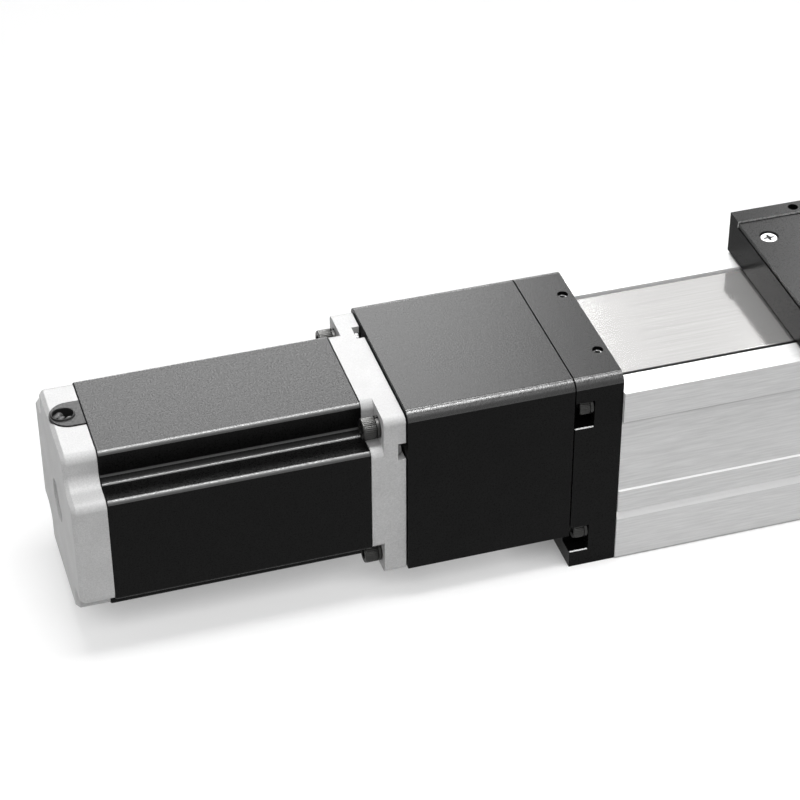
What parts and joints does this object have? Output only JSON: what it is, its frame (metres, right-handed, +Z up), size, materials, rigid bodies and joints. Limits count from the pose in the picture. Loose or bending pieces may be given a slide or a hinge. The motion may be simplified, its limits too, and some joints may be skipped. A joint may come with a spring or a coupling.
{
  "type": "ball screw linear module",
  "caption": "Motor-driven ball screw linear module: a carriage slides along a covered aluminium profile as the stepper motor turns the screw.",
  "frame": {"origin": "centre of the base profile's bottom face, on the surface that the module is bolted to", "axes": "+X along the module from the motor to the far end block, +Z up out of the slide table, +Y to the left when looking from the motor along +X"},
  "size_m": [0.6471, 0.0928, 0.118],
  "materials": {
    "brushed_aluminium": "anodised, brushed along the profile",
    "black_anodised": "black anodised, satin",
    "blasted_casting": "bead blasted",
    "black_painted_steel": "black paint, fine orange peel",
    "black_rubber": "matt",
    "red_rubber": "satin",
    "dark_steel": "black oxide",
    "ground_steel": "ground",
    "machined_aluminium": "machined",
    "black_plastic": "moulded, satin"
  },
  "bodies": {
    "base": {"base_profile": "brushed_aluminium", "cover_strip": "brushed_aluminium", "drive_end_block": "black_anodised", "far_end_block": "black_anodised", "coupling_housing": "black_anodised", "end_bumpers": "black_rubber", "guide_rails": "ground_steel", "bearing_outer_rings": "ground_steel", "bearing_retainer": "ground_steel", "motor_front_flange": "blasted_casting", "motor_stator": "black_painted_steel", "motor_rear_cap": "blasted_casting", "wire_grommet": "black_rubber", "motor_bolts": "dark_steel"},
    "spindle": {"motor_shaft": "ground_steel", "motor_coupling_hub": "machined_aluminium", "screw_coupling_hub": "machined_aluminium", "coupling_spider": "red_rubber", "ball_screw": "ground_steel", "lock_nut": "dark_steel", "bearing_inner_rings": "ground_steel"},
    "carriage": {"slide_table": "black_anodised", "table_cover_plate": "black_anodised", "strip_wipers": "black_rubber", "side_plates": "ground_steel", "saddle": "machined_aluminium", "guide_blocks": "ground_steel", "guide_end_caps": "black_plastic", "ball_nut": "ground_steel"}
  },
  "joints": [
    {"name": "screw_spin", "type": "hinge", "parent": "base", "child": "spindle", "pos_m": [0, 0, 0.06], "axis": [1, 0, 0], "range_deg": [-5940, 3060]},
    {"name": "carriage_slide", "type": "slide", "parent": "base", "child": "carriage", "axis": [1, 0, 0], "range_m": [-0.085, 0.165]}
  ],
  "couplings": [
    {"joint": "carriage_slide", "follows": "screw_spin", "m_per_rad": -0.0015915}
  ]
}
